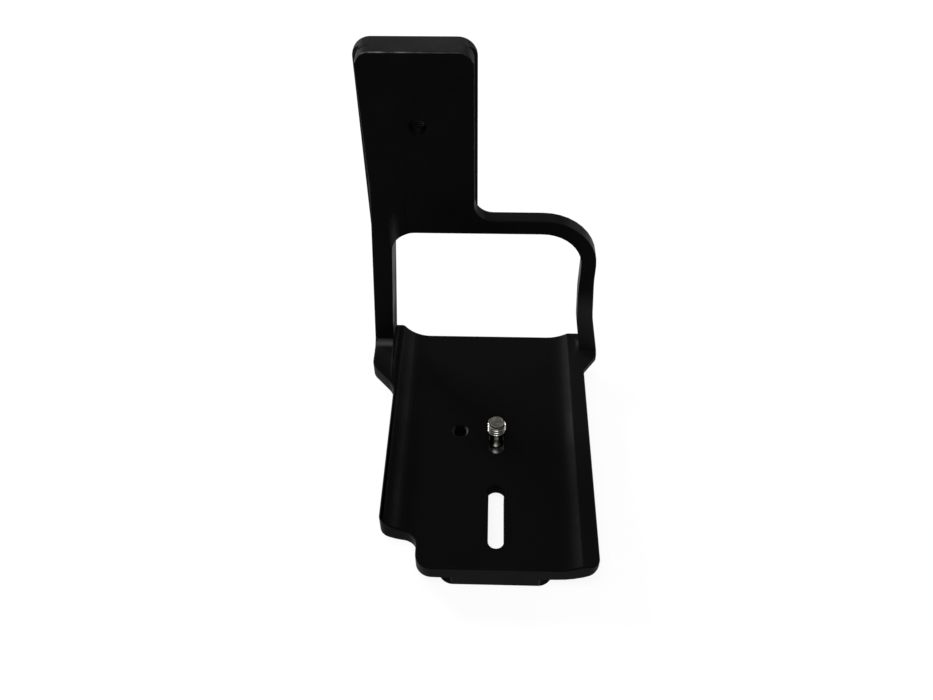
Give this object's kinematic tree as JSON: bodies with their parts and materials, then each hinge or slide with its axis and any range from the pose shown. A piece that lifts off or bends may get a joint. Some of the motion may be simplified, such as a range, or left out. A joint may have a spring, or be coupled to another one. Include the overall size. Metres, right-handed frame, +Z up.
{
  "type": "camera L-bracket",
  "caption": "One-piece L-bracket with dovetail rails on its base and upright, a cable loop beside the pad, raised lips and a captive camera screw that slides in a slot.",
  "frame": {"origin": "under the middle of the part's bounding box, on the plane of the base rail's flat underside", "axes": "+Z up along the upright, +Y from the base's free end towards the upright, +X to the right when the camera's seat is seen from the free end"},
  "size_m": [0.087, 0.1046, 0.1386],
  "materials": {
    "bracket_body": "satin black anodised",
    "camera_screw": "turned stainless steel",
    "screw_washer": "stamped stainless steel"
  },
  "bodies": {
    "bracket": {"bracket_body": "bracket_body"},
    "washer": {"screw_washer": "screw_washer"},
    "screw": {"camera_screw": "camera_screw"}
  },
  "joints": [
    {"name": "screw_slide", "type": "slide", "parent": "bracket", "child": "washer", "axis": [0, 1, 0], "range_m": [-0.0072, 0.0048]},
    {"name": "screw_spin", "type": "hinge", "parent": "washer", "child": "screw", "pos_m": [0.0045, 0.00378, 0.0104], "axis": [0, 0, 1], "continuous": true}
  ]
}
